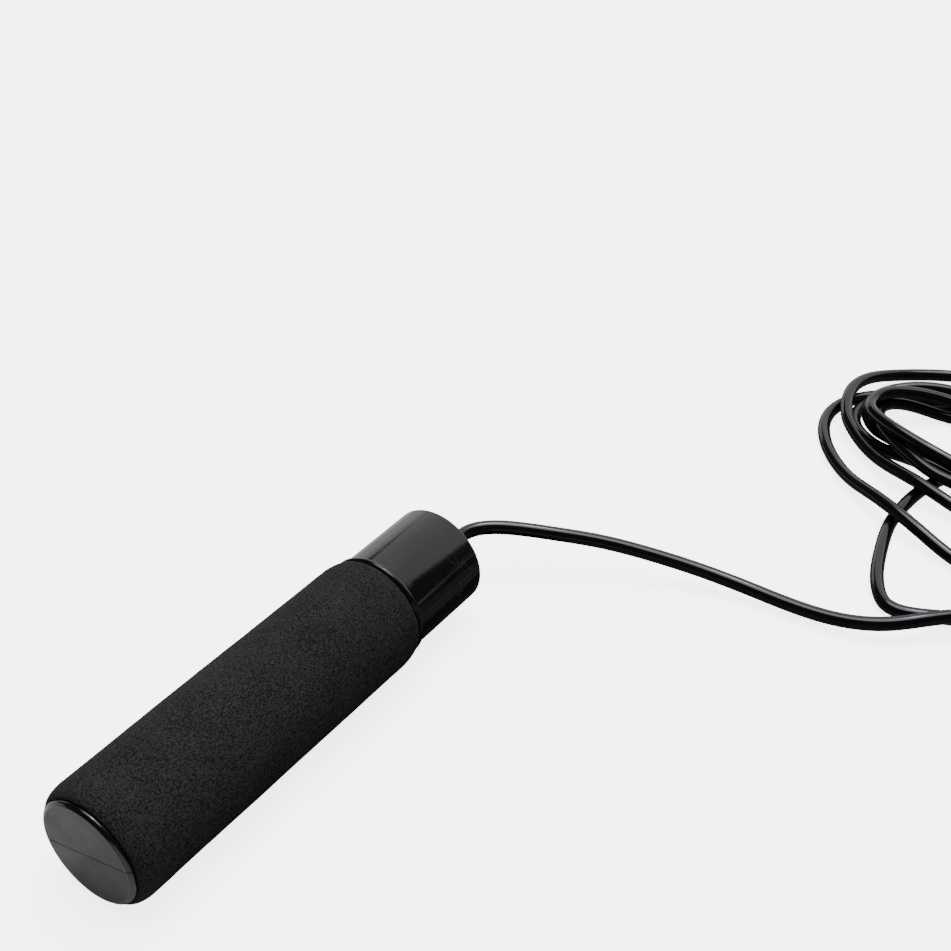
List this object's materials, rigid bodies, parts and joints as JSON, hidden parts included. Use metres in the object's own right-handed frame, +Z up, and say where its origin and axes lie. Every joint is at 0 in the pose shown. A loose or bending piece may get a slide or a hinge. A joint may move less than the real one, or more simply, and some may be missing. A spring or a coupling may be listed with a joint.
{
  "type": "jump rope",
  "caption": "Boxing jump rope: two foam-gripped handles that spin on ball bearings at the ends of a smooth plastic cord laid in a loose oval coil.",
  "frame": {"origin": "centre of the bottom of the two handles' bounding box, on the surface they lie on", "axes": "+X along the handles from butt to head, +Y from handle b to handle a, +Z up"},
  "size_m": [0.3986, 0.275, 0.04],
  "materials": {
    "foam": "matte",
    "shell": "gloss",
    "cord": "gloss",
    "bush": "satin",
    "bearing_steel": "polished",
    "washer_steel": "satin",
    "ferrule_zinc": "satin",
    "cage_nylon": "satin"
  },
  "bodies": {
    "rope": {"cord_a": "cord", "cord_b": "cord", "cord_coil": "cord", "bearing_inner_race_a": "bearing_steel", "cord_bush_a": "bush", "thrust_washer_a": "washer_steel", "crimp_ferrule_a": "ferrule_zinc", "bearing_inner_race_b": "bearing_steel", "cord_bush_b": "bush", "thrust_washer_b": "washer_steel", "crimp_ferrule_b": "ferrule_zinc"},
    "handle_a": {"foam_grip_a": "foam", "shell_upper_a": "shell", "shell_lower_a": "shell", "bearing_outer_race_a": "bearing_steel"},
    "handle_b": {"foam_grip_b": "foam", "shell_upper_b": "shell", "shell_lower_b": "shell", "bearing_outer_race_b": "bearing_steel"},
    "bearing_train_a": {"bearing_cage_a": "cage_nylon", "bearing_ball_a_1": "bearing_steel", "bearing_ball_a_2": "bearing_steel", "bearing_ball_a_3": "bearing_steel", "bearing_ball_a_4": "bearing_steel", "bearing_ball_a_5": "bearing_steel", "bearing_ball_a_6": "bearing_steel", "bearing_ball_a_7": "bearing_steel"},
    "bearing_train_b": {"bearing_cage_b": "cage_nylon", "bearing_ball_b_1": "bearing_steel", "bearing_ball_b_2": "bearing_steel", "bearing_ball_b_3": "bearing_steel", "bearing_ball_b_4": "bearing_steel", "bearing_ball_b_5": "bearing_steel", "bearing_ball_b_6": "bearing_steel", "bearing_ball_b_7": "bearing_steel"}
  },
  "joints": [
    {"name": "handle_a_spin", "type": "hinge", "parent": "rope", "child": "handle_a", "pos_m": [0.0722, 0.1175, 0.02], "axis": [1, 0, 0], "continuous": true},
    {"name": "handle_b_spin", "type": "hinge", "parent": "rope", "child": "handle_b", "pos_m": [0.0722, -0.1175, 0.02], "axis": [1, 0, 0], "continuous": true},
    {"name": "bearing_train_a_spin", "type": "hinge", "parent": "rope", "child": "bearing_train_a", "pos_m": [0.0722, 0.1175, 0.02], "axis": [1, 0, 0], "continuous": true},
    {"name": "bearing_train_b_spin", "type": "hinge", "parent": "rope", "child": "bearing_train_b", "pos_m": [0.0722, -0.1175, 0.02], "axis": [1, 0, 0], "continuous": true}
  ],
  "couplings": [
    {"joint": "bearing_train_a_spin", "follows": "handle_a_spin", "ratio": 0.6323},
    {"joint": "bearing_train_b_spin", "follows": "handle_b_spin", "ratio": 0.6323}
  ]
}
